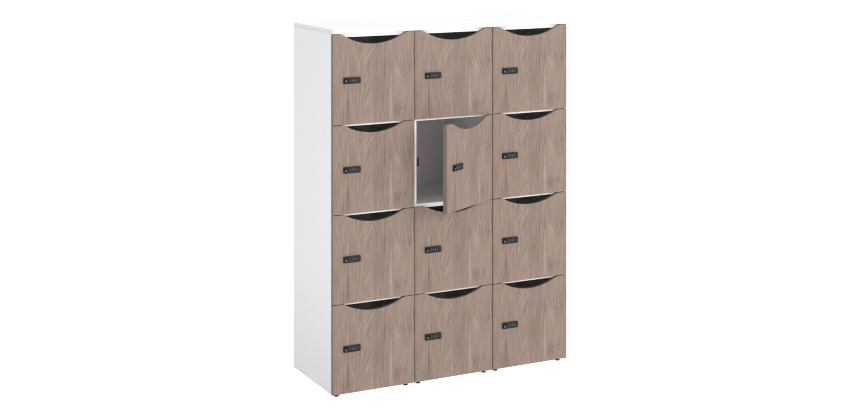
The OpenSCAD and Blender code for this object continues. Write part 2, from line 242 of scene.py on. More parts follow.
# ------------------------------------------------------------ wood laminate
def wood_group():
    """Grey-brown elm decor. In: a door's own coordinates in metres. Out: colour, roughness and height."""
    t = bpy.data.node_groups.new("wood_decor", "ShaderNodeTree")
    t.interface.new_socket("Vector", in_out="INPUT", socket_type="NodeSocketVector")
    t.interface.new_socket("Color", in_out="OUTPUT", socket_type="NodeSocketColor")
    t.interface.new_socket("Roughness", in_out="OUTPUT", socket_type="NodeSocketFloat")
    t.interface.new_socket("Height", in_out="OUTPUT", socket_type="NodeSocketFloat")
    g = Graph(t)
    gi, go = g.node("NodeGroupInput"), g.node("NodeGroupOutput")
    p = g.vec("SCALE", gi.outputs[0], scale=1000.0)          # millimetres
    x, y, z = g.xyz(p)
    # slow waver of the grain
    w1 = g.noise(g.vec("MULTIPLY", p, (0.008, 0.02, 0.0032)), 1.0, 1.0)
    w2 = g.noise(g.vec("ADD", g.vec("MULTIPLY", p, (0.03, 0.02, 0.012)), (7.3, 0, 2.1)), 1.0, 2.0)
    xw = g.add(x, g.mul(g.sub(w1, 0.5), 15.0), g.mul(g.sub(w2, 0.5), 5.0))

    # board C, right of the second seam: the grain bulges to the right. Boards A and B run straight.
    zc = g.mul(g.add(z, 232.0), 1 / 78.0)
    bell = g.math("DIVIDE", 1.0, g.add(1.0, g.mul(zc, zc, g.add(0.6, g.mul(zc, zc, 0.6)))))
    in_b = g.smooth(x, 190.6, 191.4)
    in_c = g.smooth(x, 290.6, 291.4)
    in_a = g.sub(1.0, in_b)
    ring = g.sub(g.add(xw, 900.0), g.mul(bell, g.smooth(x, 330.0, 396.0, 44.0, 8.0), in_c))
    seed = g.add(g.mul(in_b, 31.7), g.mul(in_c, 57.3))

    # uneven bands across the figure, drawn out along the grain
    def along(sx, sz, off, detail, rough=0.55, at=None):
        v = g.join(g.mul(ring if at is None else at, sx), g.add(seed, off), g.mul(z, sz))
        return g.sub(g.noise(v, 1.0, detail, rough), 0.5)

    # two half flames on board A: lines that fan out upwards from a point low on their left
    def fan(foot_x, foot_z, high, spread, power):
        t = g.math("MAXIMUM", g.mul(g.sub(z, foot_z), 1.0 / high), 0.0)
        return g.math("DIVIDE", g.sub(xw, foot_x), g.math("MULTIPLY_ADD", g.math("POWER", t, power), spread, 1.0))

    upper, lower = fan(98.0, -208.0, 148.0, 1.9, 1.5), fan(110.0, -396.0, 172.0, 2.1, 1.4)
    is_upper = g.smooth(g.add(z, g.mul(g.sub(xw, 150.0), -0.35)), -232.0, -196.0)

    def wave(q, period, sway):
        """Rings at a nearly even spacing, from -0.5 to 0.5."""
        return g.mul(g.math("SINE", g.add(g.mul(q, 2 * math.pi / period), g.mul(sway, 14.0))), 0.5)

    sway_u, sway_l = along(0.060, 0.0020, 91.0, 1.0, 0.5, upper), along(0.070, 0.0020, 97.0, 1.0, 0.5, lower)
    flame = g.add(g.mul(g.add(along(0.60, 0.0050, 45.0, 2.0, 0.5, upper), g.mul(wave(upper, 5.2, sway_u), 0.18)), is_upper),
                  g.mul(g.add(along(0.54, 0.0050, 67.0, 2.0, 0.5, lower), g.mul(wave(lower, 4.7, sway_l), 0.20)), g.sub(1.0, is_upper)))
    in_flame = g.mul(g.smooth(x, 96.0, 122.0), in_a)
    broad = along(0.045, 0.0030, 0.0, 2.0)
    rings = along(0.34, 0.0050, 5.0, 2.0)          # the growth rings

    def layer(sx, sz, off, detail, rough):
        """Finer streaks that follow the same figure."""
        a = along(sx, sz, off, detail, rough)
        u, l = along(sx * 1.9, sz, off, detail, rough, upper), along(sx * 1.9, sz, off + 2.0, detail, rough, lower)
        b = g.add(g.mul(u, is_upper), g.mul(l, g.sub(1.0, is_upper)))
        return g.add(g.mul(a, g.sub(1.0, in_flame)), g.mul(b, in_flame))

    lines = layer(0.85, 0.0090, 11.0, 2.0, 0.6)
    fine = layer(2.2, 0.022, 23.0, 3.0, 0.65)      # fibres
    wide = g.sub(g.noise(g.vec("MULTIPLY", p, (0.020, 0.02, 0.009)), 1.0, 2.0), 0.5)
    # short dark pores
    pore = g.noise(g.join(g.mul(ring, 3.4), g.add(seed, 3.0), g.mul(z, 0.10)), 1.0, 1.0)
    pores = g.mul(g.smooth(pore, 0.64, 0.76), g.sub(1.0, g.mul(in_flame, 0.85)))

    def spot(cx, cz, rx, rz, lo=0.1, hi=1.15):
        q = g.add(g.math("POWER", g.mul(g.sub(xw, cx), 1.0 / rx), 2.0),
                  g.math("POWER", g.mul(g.sub(z, cz), 1.0 / rz), 2.0))
        return g.sub(1.0, g.smooth(g.math("SQRT", q), lo, hi))

    def strip(lo, hi, edge=4.0):
        return g.mul(g.smooth(x, lo - edge, lo + edge), g.sub(1.0, g.smooth(x, hi - edge, hi + edge)))

    # tone of the three boards, their pale streaks and darker clouds
    low = g.mul(z, -1.0)
    tone = g.add(g.mul(in_b, -0.10, g.sub(1.0, in_c), g.sub(1.0, g.smooth(x, 252.0, 266.0))), g.mul(in_c, 0.03))
    lowest = g.smooth(low, 335.0, 400.0)
    marks = g.add(
        g.mul(strip(272.0, 288.0, 5.0), g.smooth(low, 150.0, 330.0), 0.17),
        g.mul(strip(192.5, 197.0, 1.5), 0.13),
        g.mul(strip(250.0, 253.5, 2.0), g.sub(1.0, g.smooth(low, 170.0, 210.0)), -0.14),
        g.mul(spot(309.0, -338.0, 36.0, 44.0, 0.0, 1.1), in_c, -0.24),
        g.mul(spot(344.0, -330.0, 26.0, 24.0, 0.0, 1.1), -0.10),
        g.mul(spot(312.0, -175.0, 30.0, 95.0), 0.13),
        g.mul(spot(326.0, -146.0, 14.0, 13.0), -0.12),
        g.mul(spot(352.0, -150.0, 14.0, 15.0), -0.14),
        g.mul(spot(388.0, -146.0, 20.0, 18.0), -0.13),
        g.mul(spot(384.0, -90.0, 26.0, 110.0), -0.12),
        g.mul(spot(355.0, -140.0, 32.0, 100.0), -0.07),
        g.mul(spot(276.0, -110.0, 24.0, 120.0), -0.08),
        g.mul(spot(160.0, -112.0, 8.0, 52.0), 0.14),
        g.mul(spot(129.0, -158.0, 8.0, 44.0), 0.14),
        g.mul(spot(146.0, -262.0, 12.0, 60.0), 0.12),
        g.mul(spot(172.0, -150.0, 16.0, 50.0), -0.16),
        g.mul(spot(136.0, -100.0, 14.0, 70.0), 0.06),
        g.mul(spot(66.0, -352.0, 34.0, 76.0), -0.15),
        g.mul(spot(70.0, -290.0, 13.0, 120.0), -0.12),
        g.mul(strip(-5.0, 9.0, 6.0), -0.16),
        g.mul(spot(30.0, -300.0, 14.0, 120.0), -0.07),
        g.mul(spot(190.0, -340.0, 14.0, 90.0), 0.08),
        g.mul(strip(393.0, 405.0, 5.0), -0.06),
        g.mul(strip(206.0, 262.0, 8.0), g.smooth(low, 190.0, 330.0), 0.09),
        g.mul(strip(140.0, 262.0, 12.0), lowest, 0.10),
        g.mul(spot(16.0, -96.0, 9.0, 22.0), -0.10))
    left = g.mul(g.smooth(x, 44.0, 58.0), g.sub(1.0, g.smooth(x, 104.0, 124.0)))
    even = g.mul(wave(x, 5.7, along(0.035, 0.0016, 71.0, 1.0)), left, 0.15)
    curved = g.mul(wave(ring, 8.5, along(0.040, 0.0030, 83.0, 1.0)), in_c, 0.12)
    bands = g.add(g.mul(rings, g.add(0.95, g.mul(left, 0.45), g.mul(in_c, 0.22)), g.sub(1.0, in_flame)), even, curved,
                  g.mul(flame, in_flame, 1.25))
    figure = g.add(g.mul(broad, 0.20), bands, g.mul(lines, 1.22), g.mul(fine, 1.48), g.mul(wide, 0.22), tone, marks)
    fac = g.math("ADD", figure, 0.5, clamp=True)
    col = g.ramp(fac, [(0.0, lin(112, 95, 84)), (0.28, lin(146, 128, 116)), (0.5, lin(162, 143, 131)),
                       (0.72, lin(175, 156, 144)), (1.0, lin(192, 174, 161))])
    # a slow drift between a pinker and a greener brown
    hue = g.noise(g.vec("MULTIPLY", p, (0.03, 0.02, 0.006)), 1.0, 2.0)
    col = g.mix(1.0, col, g.mix(g.smooth(hue, 0.35, 0.65), (1.05, 0.975, 0.94), (0.985, 1.005, 1.003)), "MULTIPLY")
    warm = g.noise(g.join(g.mul(ring, 0.10), g.add(seed, 131.0), g.mul(z, 0.006)), 1.0, 2.0)
    col = g.mix(1.0, col, g.mix(g.smooth(warm, 0.50, 0.66), (1.0, 1.0, 1.0), (1.030, 0.985, 0.960)), "MULTIPLY")
    col = g.mix(g.mul(pores, 0.40), col, lin(104, 88, 78))
    rough = g.add(0.46, g.mul(pores, 0.14), g.mul(fine, -0.10))
    height = g.add(g.mul(fine, 0.5), g.mul(lines, 0.35), g.mul(pores, -0.8))
    col = g.mix(1.0, col, (0.850, 0.842, 0.838), "MULTIPLY")
    g.put(go.inputs["Color"], col)
    g.put(go.inputs["Roughness"], rough)
    g.put(go.inputs["Height"], height)
    return t


WOOD = wood_group()


def door_material(r, c):
    m, g, bsdf = material(f"wood_laminate_r{r}c{c}")
    inv = door_matrix(r, c).inverted()
    mp = g.node("ShaderNodeMapping", vector_type="POINT")
    mp.inputs["Location"].default_value = inv.to_translation()
    mp.inputs["Rotation"].default_value = inv.to_euler("XYZ")
    g.put(mp.inputs["Vector"], object_coords(g))
    local = mp.outputs[0]
    grp = g.node("ShaderNodeGroup")
    grp.node_tree = WOOD
    g.put(grp.inputs[0], local)
    x, y, z = g.xyz(local)
    # the edge band: the same decor without the figure, in a darker brown that is partly its own colour and partly
    # painted shade for the shade the door's edges stand in
    ym = g.mul(y, 1000.0)
    edge = g.mul(g.smooth(ym, 0.55, 0.75), g.sub(1.0, g.smooth(ym, 17.25, 17.45)))
    streak = g.noise(g.vec("MULTIPLY", local, (60.0, 900.0, 60.0)), 1.0, 3.0)
    # darker edge brown: edge band colour with painted shade in it
    edge_band_and_shade_col = g.ramp(streak, [(0.25, lin(106, 91, 83)), (0.75, lin(128, 112, 102))])
    col = g.mix(edge, grp.outputs["Color"], edge_band_and_shade_col)
    g.put(bsdf.inputs["Base Color"], col)
    g.put(bsdf.inputs["Roughness"], grp.outputs["Roughness"])
    g.put(bsdf.inputs["Specular IOR Level"], 0.35)
    g.put(bsdf.inputs["Normal"], g.bump(grp.outputs["Height"], 0.35, 0.0002))
    return m


# ------------------------------------------------------------ boards
def board_material(name, inside, outside, axis_masks=True):
    """White melamine board, grey on the faces that line the compartments."""
    m, g, bsdf = material(name)
    geo = g.node("ShaderNodeNewGeometry")
    px, py, pz = g.xyz(geo.outputs["Position"])
    # inside the carcass: between the side panels, in front of the back panel's outer face, behind the front edges
    inner = g.mul(g.smooth(px, side_lo.x + 0.004, side_lo.x + 0.005),
                  g.sub(1.0, g.smooth(px, -side_lo.x - 0.005, -side_lo.x - 0.004)),
                  g.smooth(py, Y_FRONT + 0.0008, Y_FRONT + 0.0012),
                  g.sub(1.0, g.smooth(py, Y_BACK - 0.0045, Y_BACK - 0.004)),
                  g.smooth(pz, FOOT + 0.004, FOOT + 0.005),
                  g.sub(1.0, g.smooth(pz, TOP - 0.005, TOP - 0.004)))
    oc = object_coords(g)
    mottle = g.noise(oc, 9.0, 4.0, 0.6)
    peel = g.noise(oc, 900.0, 2.0, 0.5)
    speck = g.noise(oc, 2600.0, 1.0)
    outer_col = g.ramp(mottle, [(0.3, tuple(v * 0.985 for v in outside)), (0.7, outside)])
    inner_col = g.ramp(mottle, [(0.3, tuple(v * 0.96 for v in inside)), (0.7, inside)])
    inner_col = g.mix(g.mul(g.smooth(speck, 0.6, 0.75), 0.10), inner_col, tuple(v * 0.7 for v in inside))
    col = g.mix(inner, outer_col, inner_col)
    # the front edges are painted brighter than the boards, as painted light that makes up for the light their recess
    # behind the doors takes away
    front = g.sub(1.0, g.smooth(py, Y_FRONT + 0.0006, Y_FRONT + 0.0010))
    nx, ny, _ = g.xyz(geo.outputs["Normal"])
    flank = g.smooth(g.math("ABSOLUTE", nx), 0.5, 0.8)
    # the cover board's end edges are duller, with a fine shadow where they meet the side panels
    in_cover = g.smooth(pz, COVER_Z - 0.0002, COVER_Z + 0.0002)
    seam = g.mul(in_cover, g.sub(1.0, g.smooth(pz, COVER_Z + 0.0016, COVER_Z + 0.0026)))
    col = g.mix(g.mul(flank, g.add(g.mul(in_cover, 0.30), g.mul(seam, 0.90))), col, tuple(v * 0.78 for v in outside))
    # and the panels' outer faces are painted darker towards the floor: painted shade
    painted_floor_shade = g.mul(flank, g.sub(1.0, inner), g.sub(1.0, g.smooth(pz, -0.10, 0.62)))
    col = g.mix(painted_floor_shade, col, tuple(v * 0.86 for v in outside))
    # painted highlight: the faces towards the front are whitened
    facing = g.mul(front, g.smooth(g.mul(ny, -1.0), 0.5, 0.8))
    col = g.mix(facing, col, (0.965, 0.967, 0.968))
    # a faint painted glow on the front edging, as painted light
    painted_edge_glow = g.mul(facing, g.smooth(py, Y_FRONT - 0.0010, Y_FRONT - 0.0006))
    g.put(bsdf.inputs["Emission Color"], g.ramp(painted_edge_glow, [(0.0, (0.0, 0.0, 0.0)), (1.0, (1.0, 1.0, 1.0))]))
    bsdf.inputs["Emission Strength"].default_value = 0.10
    g.put(bsdf.inputs["Base Color"], col)
    g.put(bsdf.inputs["Roughness"], g.add(0.42, g.mul(mottle, 0.10)))
    g.put(bsdf.inputs["Specular IOR Level"], 0.35)
    g.put(bsdf.inputs["Normal"], g.bump(peel, 0.12, 0.00008))
    return m


def plastic(name, col, rough=0.45, peel_scale=1400.0, spread=0.10, spec=0.5, bump=0.15):
    """Moulded plastic: fine grain, slight tone drift, edges rubbed a little paler."""
    m, g, bsdf = material(name)
    oc = object_coords(g)
    n1 = g.noise(oc, 60.0, 3.0)
    n2 = g.noise(oc, peel_scale, 2.0)
    geo = g.node("ShaderNodeNewGeometry")
    worn = g.smooth(g.add(geo.outputs["Pointiness"], g.mul(g.sub(n1, 0.5), 0.06)), 0.54, 0.62)
    base = g.ramp(n1, [(0.3, tuple(v * (1 - spread) for v in col)), (0.7, tuple(v * (1 + spread) for v in col))])
    base = g.mix(g.mul(worn, 0.25), base, tuple(min(1, v * 2.0 + 0.02) for v in col))
    g.put(bsdf.inputs["Base Color"], base)
    g.put(bsdf.inputs["Roughness"], g.add(rough, g.mul(g.sub(n2, 0.5), 0.10)))
    g.put(bsdf.inputs["Specular IOR Level"], spec)
    g.put(bsdf.inputs["Normal"], g.bump(n2, bump, 0.00005))
    return m


def metal(name, col, rough=0.30, brush=(40.0, 40.0, 900.0)):
    """Plated steel with fine drawing marks and a few duller patches."""
    m, g, bsdf = material(name)
    oc = object_coords(g)
    marks = g.noise(g.vec("MULTIPLY", oc, brush), 1.0, 3.0)
    dull = g.noise(oc, 120.0, 3.0)
    g.put(bsdf.inputs["Metallic"], 1.0)
    g.put(bsdf.inputs["Base Color"], g.ramp(dull, [(0.3, tuple(v * 0.86 for v in col)), (0.7, col)]))
    g.put(bsdf.inputs["Roughness"], g.add(rough, g.mul(g.sub(marks, 0.5), 0.16), g.mul(g.sub(dull, 0.5), 0.12)))
    g.put(bsdf.inputs["Normal"], g.bump(marks, 0.08, 0.00004))
    return m


GREY_IN = (0.70, 0.703, 0.708)
WHITE = (0.83, 0.835, 0.845)
M_BOARD = board_material("white_board", GREY_IN, WHITE)
M_INNER = board_material("grey_board", GREY_IN, WHITE)
M_BACK = board_material("back_board", GREY_IN, (0.70, 0.705, 0.715))
M_BLACK = plastic("black_plastic", (0.016, 0.0155, 0.015), 0.42)
M_CASE = plastic("lock_plastic", (0.0185, 0.0178, 0.0174), 0.42, spec=0.36)
M_KNOB = plastic("knob_metal", (0.0060, 0.0060, 0.0060), 0.42, spec=0.24)
# the knob's light pointer paint, partly a painted highlight of the grip's lit flank
M_MARK_AND_HIGHLIGHT = plastic("pointer_paint_and_highlight", (0.225, 0.225, 0.222), 0.5, spread=0.05)
M_DIAL = plastic("dial_plastic", (0.040, 0.046, 0.054), 0.38, spec=0.4)
M_DIGIT = plastic("digit_paint", (0.195, 0.21, 0.23), 0.5, spread=0.04)
M_DARK = plastic("dark_plastic", (0.050, 0.050, 0.053), 0.5)
M_STEEL = metal("nickel_steel", (0.62, 0.61, 0.59))
M_ZINC = metal("zinc_steel", (0.55, 0.55, 0.54), 0.38)


# ------------------------------------------------------------ CAD boards and doors
def dress(name, mat, width=0.0008, angle=40, segments=2):
    o = nodes[name]
    o.data.materials.clear()
    o.data.materials.append(mat)
    w = o.modifiers.new("weld", "WELD")
    w.merge_threshold = 1e-6
    b = o.modifiers.new("edge", "BEVEL")
    b.width, b.segments, b.limit_method, b.angle_limit = width, segments, "ANGLE", math.radians(angle)
    b.harden_normals = False
    b.use_clamp_overlap = True
    n = o.modifiers.new("normals", "WEIGHTED_NORMAL")
    n.keep_sharp = False
    return o


for n in ("top_cover", "left_sides", "right_sides"):
    dress(n, M_BOARD)
for n in ("column_tops", "column_bottoms", "shelves"):
    dress(n, M_INNER, 0.0006)
dress("back_panels", M_BACK, 0.0010)
for r, c in CELLS:
    dress(f"door_r{r}c{c}", door_material(r, c), 0.0007)
for n in ("hinge_arms", "hinge_plates"):
    dress(n, M_STEEL, 0.0003, 50)
dress("strike_blocks", M_DARK, 0.0008)


# ------------------------------------------------------------ mesh building, in millimetres
class Shell:
    """Closed skins made of loops, bridges and caps."""

    def __init__(self):
        self.v, self.f, self.m = [], [], []
        self.mat, self.mx = 0, Matrix.Identity(4)

    def loop(self, pts):
        i = len(self.v)
        self.v += [tuple(self.mx @ Vector(p)) for p in pts]
        return list(range(i, i + len(pts)))

    def face(self, idx):
        self.f.append(tuple(idx))
        self.m.append(self.mat)

    def bridge(self, a, b):
        n = len(a)
        for i in range(n):
            self.face((a[i], a[(i + 1) % n], b[(i + 1) % n], b[i]))

    def cap(self, outer, holes=()):
        """Fills a flat outline, round its holes."""
        inv = self.mx.inverted()
        rings = [outer, *holes]
        pts = [[inv @ Vector(self.v[i]) for i in ring] for ring in rings]
        spread = [max(q[k] for q in pts[0]) - min(q[k] for q in pts[0]) for k in range(3)]
        k = spread.index(min(spread))
        flat = [[Vector((q[(k + 1) % 3], q[(k + 2) % 3], 0)) for q in ring] for ring in pts]
        every = [i for ring in rings for i in ring]
        for t in tessellate_polygon(flat):
            self.face([every[j] for j in t])

    def stack(self, *loops):
        """Loops of equal length, bridged, with the first and the last filled."""
        ids = [self.loop(l) for l in loops]
        for a, b in zip(ids, ids[1:]):
            self.bridge(a, b)
        self.cap(ids[0])
        self.cap(ids[-1])

    def mesh(self, name, mats, angle=38, bevel=0.0):
        me = bpy.data.meshes.new(name)
        me.from_pydata([tuple(x * MM for x in v) for v in self.v], [], self.f)
        for m in mats:
            me.materials.append(m)
        me.polygons.foreach_set("material_index", self.m)
        bm = bmesh.new()
        bm.from_mesh(me)
        bmesh.ops.recalc_face_normals(bm, faces=bm.faces)
        bm.to_mesh(me)
        bm.free()
        me.shade_smooth()
        me.set_sharp_from_angle(angle=math.radians(angle))
        if bevel:
            o = bpy.data.objects.new("work", me)
            scene.collection.objects.link(o)
            w = o.modifiers.new("edge", "BEVEL")
            w.width, w.segments, w.limit_method, w.angle_limit = bevel * MM, 2, "ANGLE", math.radians(50)
            done = bpy.data.meshes.new_from_object(o.evaluated_get(bpy.context.evaluated_depsgraph_get()))
            bpy.data.objects.remove(o)
            bpy.data.meshes.remove(me)
            me = done
            me.name = name
            me.shade_smooth()
            me.set_sharp_from_angle(angle=math.radians(angle))
        return me


def at(x, y, z):
    return Matrix.Translation((x, y, z))


def rrect(w, h, rad, y, cx=0.0, cz=0.0, n=6):
    """A rounded rectangle facing along y, anticlockwise seen from the front."""
    out = []
    for sx, sz, a0 in ((1, 1, 0), (-1, 1, 90), (-1, -1, 180), (1, -1, 270)):
        for i in range(n + 1):
            a = math.radians(a0 + 90 * i / n)
            out.append((cx + sx * (w / 2 - rad) + rad * math.cos(a), y, cz + sz * (h / 2 - rad) + rad * math.sin(a)))
    return out


def circle(rad, y, n=48, cx=0.0, cz=0.0):
    return [(cx + rad * math.cos(2 * math.pi * i / n), y, cz + rad * math.sin(2 * math.pi * i / n)) for i in range(n)]


def lathe(sh, profile, n=48, wave=None):
    """A turned solid about the y axis from (radius, y) pairs; wave(angle, radius) may notch it."""
    loops = []
    for rad, y in profile:
        ring = []
        for i in range(n):
            a = 2 * math.pi * i / n
            q = wave(a, rad) if wave else rad
            ring.append((q * math.cos(a), y, q * math.sin(a)))
        loops.append(ring)
    sh.stack(*loops)


def screw(sh, matrix, rad=3.0, high=1.25, cross=1.75, slot=0.42):
    """Pan-head cross-recess screw: head outward along its own y."""
    keep, sh.mx = sh.mx, sh.mx @ matrix
    n = 24
    rings = [sh.loop(circle(q, y, n)) for q, y in ((rad - 0.2, -0.3), (rad, -0.2), (rad, high * 0.35), (rad * 0.93, high * 0.68), (rad * 0.72, high))]
    for a, b in zip(rings, rings[1:]):
        sh.bridge(a, b)
    sh.cap(rings[0])

    def plus(y, k):
        a, w = cross * k, slot * k
        return [(a, y, -w), (a, y, w), (w, y, w), (w, y, a), (-w, y, a), (-w, y, w), (-a, y, w), (-a, y, -w),
                (-w, y, -w), (-w, y, -a), (w, y, -a), (w, y, -w)]
    top, low = sh.loop(plus(high, 1.0)), sh.loop(plus(high * 0.25, 0.62))
    sh.cap(rings[-1], [top])
    sh.bridge(top, low)
    sh.cap(low)
    sh.mx = keep


def piece(name, mesh, body, slot_name, matrix=None, *stands_for):
    o = bpy.data.objects.new(name, mesh)
    scene.collection.objects.link(o)
    if matrix is not None:
        o.matrix_world = matrix
    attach(o, body)
    if stands_for:
        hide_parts(*stands_for)
    return o


# ------------------------------------------------------------ combination lock: case
def case_mesh():
    sh = Shell()
    P = lambda w, h, rad, y, cx=0.0: sh.loop(rrect(w, h, rad, y, cx))
    # front plate with a rolled edge
    plate = [P(82, 28.5, 4.5, 0), P(82, 28.5, 4.5, -5.1), P(81.8, 28.3, 4.4, -5.75), P(81.2, 27.7, 4.1, -6.22), P(80.4, 26.9, 3.7, -6.44), P(79.5, 26.0, 3.3, -6.5)]
    for u, v in zip(plate, plate[1:]):
        sh.bridge(u, v)
    # raised rim round the dials, with a sunk floor
    rim = [P(43.4, 19.6, 3.6, -6.5, DIAL_MID), P(43.2, 19.4, 3.5, -6.8, DIAL_MID), P(42.9, 19.1, 3.35, -6.95, DIAL_MID),
           P(42.5, 18.3, 2.9, -6.95, DIAL_MID), P(42.2, 17.8, 2.7, -6.8, DIAL_MID), P(42.0, 17.4, 2.5, -5.7, DIAL_MID)]
    for u, v in zip(rim, rim[1:]):
        sh.bridge(u, v)
    # a shallow ring groove round the knob
    groove = [sh.loop(circle(q, y, 64, KNOB_X)) for q, y in ((11.05, -6.5), (11.0, -6.1), (10.8, -6.1), (10.7, -6.5))]
    for u, v in zip(groove, groove[1:]):
        sh.bridge(u, v)
    sh.cap(plate[-1], [rim[0], groove[0]])
    sh.cap(groove[-1])
    xs = [DIAL_MID + (i - 1.5) * DIAL_PITCH for i in range(4)]
    wins = [(sh.loop(rrect(9.6, 15.8, 0.9, -5.7, x, 0, 3)), sh.loop(rrect(8.9, 15.2, 0.6, -5.2, x, 0, 3)),
             sh.loop(rrect(8.9, 15.2, 0.6, -4.4, x, 0, 3))) for x in xs]
    sh.cap(rim[-1], [w[0] for w in wins])
    for w in wins:
        sh.bridge(w[0], w[1])
        sh.bridge(w[1], w[2])
    room = [P(43.4, 22.0, 1.0, -4.4, DIAL_MID), P(43.4, 22.0, 1.0, 14.0, DIAL_MID)]
    sh.cap(room[0], [w[2] for w in wins])
    sh.bridge(*room)
    sh.cap(room[1])
    # body through the door, and the flange behind it
    back = [P(76, 24, 2.5, 0), P(76, 24, 2.5, 18), P(84, 30, 4, 18), P(84, 30, 4, 22.6), P(83.6, 29.6, 3.8, 23.5), P(82.4, 28.4, 3.4, 24)]
    sh.bridge(plate[0], back[0])
    for u, v in zip(back, back[1:]):
        sh.bridge(u, v)
    # a cover plate let into the flange, and a collar round the spindle
    lid = [P(54, 22, 2.0, 24, 8), P(53.6, 21.6, 1.9, 23.5, 8), P(52.8, 20.8, 1.6, 23.5, 8), P(52.4, 20.4, 1.5, 23.9, 8)]
    sh.cap(back[-1], [lid[0]])
    for u, v in zip(lid, lid[1:]):
        sh.bridge(u, v)
    sh.cap(lid[-1])
    sh.mx = at(KNOB_X, 0, 0)
    lathe(sh, [(7.6, 23.8), (7.6, 24.5), (7.2, 24.9), (5.4, 24.9), (5.2, 24.5)], 40)
    sh.mx = Matrix.Identity(4)
    # two stiffening ribs on the lid, and a small reset hole's ring
    for z in (-6.0, 6.0):
        sh.stack(rrect(44, 1.4, 0.6, 23.7, 10, z, 3), rrect(44, 1.4, 0.6, 24.3, 10, z, 3), rrect(43.4, 0.8, 0.35, 24.6, 10, z, 3))
    ring = [sh.loop(circle(q, y, 32, 30)) for q, y in ((3.2, 23.7), (3.2, 24.6), (2.9, 24.9), (1.9, 24.9), (1.7, 24.6), (1.7, 23.8))]
    for u, v in zip(ring, ring[1:]):
        sh.bridge(u, v)
    sh.cap(ring[0])
    sh.cap(ring[-1])
    # steel: screws in the flange, and the dials' axle
    sh.mat = 1
    for x, z in ((-38.6, 10.6), (-38.6, -10.6), (38.6, 10.6), (38.6, -10.6)):
        screw(sh, at(x, 23.9, z), 2.3, 0.7, 1.3, 0.33)
    sh.mx = at(DIAL_MID, 2, 0) @ Matrix.Rotation(math.radians(-90), 4, "Z")
    lathe(sh, [(1.3, -22.2), (1.5, -21.9), (1.5, 21.9), (1.3, 22.2)], 24)
    sh.mx = Matrix.Identity(4)
    return sh.mesh("lock_case", [M_CASE, M_STEEL])


# ------------------------------------------------------------ dials with raised figures
def glyph(ch, high):
    cu = bpy.data.curves.new("figure", "FONT")
    cu.body, cu.size, cu.align_x, cu.resolution_u, cu.extrude = ch, high / 0.70, "CENTER", 2, 0.12
    o = bpy.data.objects.new("figure", cu)
    scene.collection.objects.link(o)
    me = bpy.data.meshes.new_from_object(o.evaluated_get(bpy.context.evaluated_depsgraph_get()))
    bpy.data.objects.remove(o)
    bm = bmesh.new()
    bm.from_mesh(me)
    bpy.data.meshes.remove(me)
    bmesh.ops.remove_doubles(bm, verts=bm.verts, dist=1e-4)
    for k in (0.12, 0.32, 0.5, 0.68, 0.88):
        bmesh.ops.bisect_plane(bm, geom=bm.verts[:] + bm.edges[:] + bm.faces[:], plane_co=(0, high * k, 0), plane_no=(0, 1, 0))
    bmesh.ops.remove_doubles(bm, verts=bm.verts, dist=4e-3)
    ys = [v.co.y for v in bm.verts]
    mid = (max(ys) + min(ys)) / 2
    for i, v in enumerate(bm.verts):
        v.index = i
    verts = [(v.co.x, v.co.y - mid, v.co.z) for v in bm.verts]
    faces = [[v.index for v in f.verts] for f in bm.faces]
    bm.free()
    return verts, faces


def dials_mesh():
    sh = Shell()
    figures = [glyph(str(k), 4.3) for k in range(10)]

    def notched(a, rad):
        q = math.degrees(a) % 36.0 - 18.0
        return rad - 0.95 * max(0.0, 1 - (q / 5.6) ** 2) * (1 if rad > 8 else 0)

    for i in range(4):
        cx = DIAL_MID + (i - 1.5) * DIAL_PITCH
        # the wheel's own axes: y along the axle, angle from the front upwards
        sh.mat = 0
        sh.mx = at(cx, 2, 0) @ Matrix(((0, 1, 0, 0), (-1, 0, 0, 0), (0, 0, 1, 0), (0, 0, 0, 1)))
        lathe(sh, [(2.6, -3.7), (6.9, -3.7), (7.1, -4.0), (9.35, -4.0), (9.8, -3.75), (10.0, -3.3), (10.0, 3.3), (9.8, 3.75), (9.35, 4.0), (7.1, 4.0), (6.9, 3.7), (2.6, 3.7)], 120, notched)
        sh.mx = Matrix.Identity(4)
        sh.mat = 1
        for k, (verts, faces) in enumerate(figures):
            base = len(sh.v)
            for x, y, z in verts:
                rad = 10.0 + z
                a = math.radians(36.0 * k) + y / 10.0
                sh.v.append((cx + x, 2 - rad * math.cos(a), rad * math.sin(a)))
            for f in faces:
                sh.face([base + j for j in f])
    return sh.mesh("lock_dials", [M_DIAL, M_DIGIT], 40)


